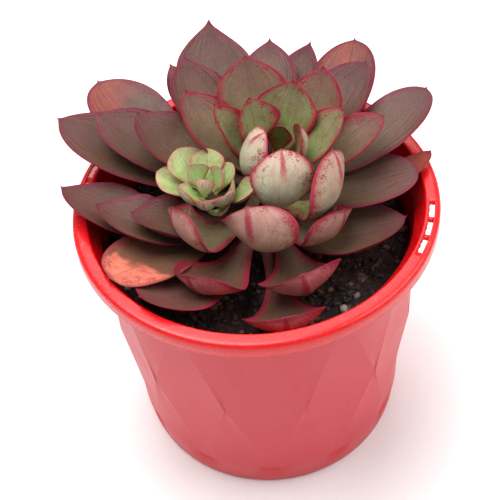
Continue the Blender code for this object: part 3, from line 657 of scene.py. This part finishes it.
def make_pot(wall_material, rim_material):
    shape = bmesh.new()
    rings = []
    rings += [round_ring(*p) for p in rounded([
        (12.0, 0.0, 0), (36.0, 0.0, 0), (50.9, 0.0, 0.8), (51.6, 3.0, 0),
        (cone_radius(FACET_FOOT) + 0.1, FACET_FOOT - 0.6, 0),
    ])]
    shares = [0.0, 0.01, 0.03, 0.06] + [0.1 + 0.05 * i for i in range(16)] + [0.9, 0.95, 0.985, 1.0]
    wall_start = len(rings)
    rings += [facet_ring(share, 0.0) for share in shares]
    wall_end = len(rings)
    rings += [round_ring(*p) for p in rounded([
        (58.3, 102.8, 0), (60.4, 105.5, 0), (60.7, 107.0, 0.4), (63.2, 107.0, 0.4), (63.5, 102.9, 0),
        (63.7, 102.7, 0), (64.8, 102.7, 0), (65.0, 103.0, 0), (65.0, 108.5, 1.9), (59.6, 108.5, 0.9),
        (59.0, 105.5, 0),
    ])]
    inner_start = len(rings)
    inside = WALL / math.cos(math.pi / 48)
    rings += [facet_ring(share, inside) for share in reversed(shares)]
    rings += [round_ring(*p) for p in rounded([
        (50.4, 9.0, 0), (49.9, 3.0, 1.5), (36.0, 3.0, 0), (12.0, 3.0, 0),
    ])]
    rows = []
    for ring in rings:
        rows.append([shape.verts.new((direction(a) * r + Vector((0, 0, z))) * MM) for a, r, z in ring])
    count = len(rows[0])
    span = KITE_STEPS + GAP_STEPS
    for level, (low, high) in enumerate(zip(rows, rows[1:])):
        for i in range(count):
            j = (i + 1) % count
            face = shape.faces.new((low[i], low[j], high[j], high[i]))
            face.material_index = 0 if level < wall_end else 1
    shape.faces.new(rows[0])
    last = shape.faces.new(rows[-1])
    last.material_index = 1
    for first, end in ((wall_start, wall_end), (inner_start, inner_start + wall_end - wall_start)):
        for low, high in zip(rows[first:end], rows[first + 1:end]):
            for i in range(0, count, span):
                for column in (i, i + KITE_STEPS):
                    edge = shape.edges.get((low[column], high[column]))
                    if edge:
                        edge.smooth = False
    for k in range(0, count, span):
        for i in range(KITE_STEPS):
            edge = shape.edges.get((rows[wall_start][k + i], rows[wall_start][(k + i + 1) % count]))
            edge.smooth = False
    bmesh.ops.recalc_face_normals(shape, faces=shape.faces)
    pot = new_object("moulded_pot", shape, wall_material, rim_material)
    cutter = bmesh.new()
    for middle in SLOT_MIDDLES:
        for i in (-1, 0, 1):
            add_slot(cutter, middle + i * SLOT_PITCH)
    for i in range(DRAINS):
        centre = direction(360.0 * (i + 0.5) / DRAINS) * DRAIN_RING_RADIUS * MM + Vector((0, 0, 2.0 * MM))
        bmesh.ops.create_cone(
            cutter, cap_ends=True, segments=28, radius1=DRAIN_RADIUS * MM, radius2=DRAIN_RADIUS * MM,
            depth=8 * MM, matrix=Matrix.Translation(centre),
        )
    bmesh.ops.recalc_face_normals(cutter, faces=cutter.faces)
    tool = new_object("pot_cutter", cutter, rim_material)
    cut = pot.modifiers.new("openings", "BOOLEAN")
    cut.operation = "DIFFERENCE"
    cut.solver = "EXACT"
    cut.object = tool
    depsgraph = bpy.context.evaluated_depsgraph_get()
    cut_mesh = bpy.data.meshes.new_from_object(pot.evaluated_get(depsgraph))
    pot.modifiers.clear()
    pot.data = cut_mesh
    bpy.data.objects.remove(tool)
    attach(pot, "root")
    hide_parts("pot")
    return pot


def add_slot(cutter, centre):
    """Curved block with small teeth on its inner side, as the moulded openings have."""
    steps = 6
    sections = []
    for i in range(steps + 1):
        out = direction(centre - SLOT_SPAN / 2 + SLOT_SPAN * i / steps)
        inner = out * (SLOT_RADII[0] + (0.45 if i % 2 else 0.0)) * MM
        outer = out * SLOT_RADII[1] * MM
        low, high = Vector((0, 0, 105.8 * MM)), Vector((0, 0, 109.6 * MM))
        corners = (inner + low, outer + low, outer + high, inner + high)
        sections.append([cutter.verts.new(corner) for corner in corners])
    for first, second in zip(sections, sections[1:]):
        for a in range(4):
            b = (a + 1) % 4
            cutter.faces.new((first[a], first[b], second[b], second[a]))
    cutter.faces.new(sections[0])
    cutter.faces.new(sections[-1])


def pot_material(name, base, pale, rough, haze):
    """Moulded plastic: slightly uneven colour, fine haze, scuffs and fine dust."""
    g = Graph(name)
    cloud = g.noise(45.0, 4.0)
    fine = g.noise(1500.0, 2.0)
    scuff_space = g.tree.nodes.new("ShaderNodeMapping")
    g.put(scuff_space.inputs["Vector"], g.place())
    scuff_space.inputs["Scale"].default_value = (1.0, 1.0, 9.0)
    scuff = g.noise(170.0, 5.0, 0.7, scuff_space.outputs[0])
    colour = g.mix(g.step(cloud, 0.3, 0.7, 0.0, 0.3), base, pale)
    colour = g.mix(g.math("MULTIPLY", g.step(scuff, 0.6, 0.74), 0.12), colour, (0.85, 0.5, 0.5))
    colour = g.mix(g.math("MULTIPLY", g.step(fine, 0.5, 0.75), 0.06), colour, (0.9, 0.6, 0.6))
    shine = g.step(cloud, 0.3, 0.7, rough - 0.03, rough + 0.05)
    shine = g.math("ADD", shine, g.math("MULTIPLY", scuff, 0.08))
    skin = g.bump(g.math("ADD", fine, g.math("MULTIPLY", cloud, 2.0)), haze, 0.0002)
    return g.finish(colour, shine, skin, Specular_IOR_Level=0.5, Subsurface_Weight=0.0)


# ---------------------------------------------------------------- soil and stem

def soil_material():
    """Damp potting mix: near-black crumbs with brown fibre."""
    g = Graph("potting_mix")
    crumbs = g.cells(420.0)
    fibre = g.noise(520.0, 6.0, 0.7)
    patchy = g.noise(90.0, 4.0)
    colour = g.mix(g.step(patchy, 0.35, 0.65), rgb(30, 21, 20), rgb(58, 42, 36))
    colour = g.mix(g.math("MULTIPLY", g.step(fibre, 0.55, 0.7), 0.6), colour, rgb(104, 78, 62))
    colour = g.mix(g.step(crumbs, 0.1, 0.5, 0.5, 0.0), colour, rgb(16, 11, 11))
    height = g.math("ADD", g.math("MULTIPLY", crumbs, 0.7), fibre)
    shine = g.step(patchy, 0.3, 0.7, 0.6, 0.95)
    return g.finish(colour, shine, g.bump(height, 0.9, 0.0018), Specular_IOR_Level=0.35)


def grain_material():
    """Crumbs, bark chips and mineral grains, shaded by each grain's own value."""
    g = Graph("soil_grains")
    shade = g.value("shade")
    mottle = g.noise(900.0, 5.0, 0.7)
    ramp = g.tree.nodes.new("ShaderNodeValToRGB")
    stops = ramp.color_ramp.elements
    stops[0].color = (*rgb(24, 17, 17), 1.0)
    stops[1].position = 1.0
    stops[1].color = (*rgb(172, 164, 156), 1.0)
    for position, colour in ((0.35, rgb(54, 40, 36)), (0.62, rgb(98, 72, 56)), (0.8, rgb(120, 108, 102))):
        stop = stops.new(position)
        stop.color = (*colour, 1.0)
    mottling = g.math("MULTIPLY", g.math("SUBTRACT", mottle, 0.5), 0.35)
    g.put(ramp.inputs["Fac"], g.math("ADD", shade, mottling, True))
    return g.finish(ramp.outputs["Color"], g.step(mottle, 0.3, 0.7, 0.45, 0.9), g.bump(mottle, 0.8, 0.0008))


def make_grains():
    """Loose crumbs, chips and stones on top of the mix, in one piece."""
    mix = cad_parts["potting_mix"]
    tree = BVHTree.FromObject(mix, bpy.context.evaluated_depsgraph_get())
    shape = bmesh.new()
    shade = shape.verts.layers.float.new("shade")
    for number in range(GRAINS):
        stone = number < STONES
        reach = GRAIN_REACH * math.sqrt(rng.random())
        spot = direction(rng.uniform(0.0, 360.0)) * reach * MM
        hit = tree.ray_cast(spot + Vector((0, 0, 0.13)), Vector((0, 0, -1)))[0]
        if hit is None or hit.z < 0.08:
            continue
        size = rng.uniform(1.3, 2.4) if stone else rng.uniform(0.35, 1.35) ** 1.2
        stretch = Vector((rng.uniform(0.8, 1.9), rng.uniform(0.7, 1.1), rng.uniform(0.5, 0.9)))
        turn = Matrix.Rotation(rng.uniform(0, 6.28), 4, "Z")
        turn = turn @ Matrix.Rotation(rng.uniform(-0.5, 0.5), 4, "X")
        value = rng.uniform(0.68, 0.9) if stone else min(0.66, rng.random() ** 2.0)
        made = bmesh.ops.create_icosphere(shape, subdivisions=2 if size > 0.9 else 1, radius=1.0)["verts"]
        if reach > 54.0 - size:
            spot *= max(0.0, 54.0 - size * 1.4) / reach
        for vert in made:
            bulge = 1.0 + 0.45 * noise.noise(vert.co * 1.6 + Vector((number, 0, 0)))
            local = vert.co * stretch * bulge * size
            vert.co = Vector((spot.x, spot.y, hit.z + 0.25 * size * MM)) + turn @ local * MM
            vert[shade] = value
    grains = new_object("soil_grains", shape, grain_material())
    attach(grains, "root")


def stem_material():
    """Young woody stem: brown skin with green showing through, ringed by old leaf scars."""
    g = Graph("stem")
    split = g.tree.nodes.new("ShaderNodeSeparateXYZ")
    g.put(split.inputs[0], g.place())
    wide = [g.math("MULTIPLY", split.outputs[axis], 0.25) for axis in "XY"]
    rings_space = g.combine(*wide, split.outputs["Z"])
    rings = g.noise(420.0, 4.0, 0.6, rings_space)
    bark = g.noise(700.0, 5.0, 0.65)
    colour = g.mix(g.step(rings, 0.4, 0.62), rgb(112, 86, 70), rgb(78, 56, 48))
    colour = g.mix(g.math("MULTIPLY", g.step(bark, 0.5, 0.7), 0.5), colour, rgb(134, 122, 92))
    return g.finish(colour, 0.62, g.bump(g.math("ADD", rings, bark), 0.6, 0.0012))


# ---------------------------------------------------------------- studio

def make_studio():
    shape = bmesh.new()
    bmesh.ops.create_grid(shape, x_segments=1, y_segments=1, size=FLOOR_SIZE)
    g = Graph("studio_floor")
    paper = g.noise(30.0, 3.0)
    colour = g.mix(paper, (0.955, 0.955, 0.955), (0.975, 0.975, 0.975))
    material = g.finish(colour, g.step(paper, 0.3, 0.7, 0.7, 0.8), Specular_IOR_Level=0.2)
    floor = new_object("studio_floor", shape, material)
    world = bpy.data.worlds.new("studio")
    world.use_nodes = True
    backdrop = world.node_tree.nodes["Background"]
    backdrop.inputs["Color"].default_value = (1.0, 0.99, 0.985, 1.0)
    backdrop.inputs["Strength"].default_value = BACKDROP_STRENGTH
    bpy.context.scene.world = world
    for name, (place, size, power) in LAMPS.items():
        add_light(name, place, size, power)
    scene = bpy.context.scene
    scene.view_settings.view_transform = "Standard"
    scene.view_settings.look = "None"


def add_light(name, place, size, power):
    lamp = bpy.data.lights.new(name, "AREA")
    lamp.shape = "DISK"
    lamp.size = size
    lamp.energy = power
    made = bpy.data.objects.new(name, lamp)
    made.location = place
    made.rotation_euler = (Vector((0, 0, 0.08)) - Vector(place)).to_track_quat("-Z", "Y").to_euler()
    bpy.context.scene.collection.objects.link(made)


def make_camera():
    """Looks down on the plant from the front, a little rolled."""
    lens = bpy.data.cameras.new("camera")
    lens.sensor_width = 36.0
    lens.lens = CAMERA_LENS
    camera = bpy.data.objects.new("camera", lens)
    right = Vector(CAMERA_RIGHT).normalized()
    ahead = Vector(CAMERA_AHEAD).normalized()
    above = right.cross(ahead).normalized()
    right = ahead.cross(above).normalized()
    turn = Matrix((right, above, -ahead)).transposed()
    camera.matrix_world = Matrix.Translation(CAMERA_PLACE) @ turn.to_4x4()
    bpy.context.scene.collection.objects.link(camera)
    bpy.context.scene.camera = camera


def main():
    make_camera()
    make_studio()
    # The wall's red is paler and pinker than the rim's: partly the plastic's own colour, partly a painted
    # milky sheen.
    wall = pot_material("pot_wall_painted_sheen", rgb(206, 44, 56), rgb(214, 58, 70), 0.36, 0.18)
    rim = pot_material("pot_rim", rgb(226, 2, 12), rgb(232, 8, 18), 0.24, 0.1)
    make_pot(wall, rim)
    for number, row in enumerate(LEAVES, 1):
        make_leaf(row, number)
    make_grains()
    for node, material in (("potting_mix", soil_material()), ("stem", stem_material())):
        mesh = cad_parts[node].data
        mesh.materials.clear()
        mesh.materials.append(material)


main()
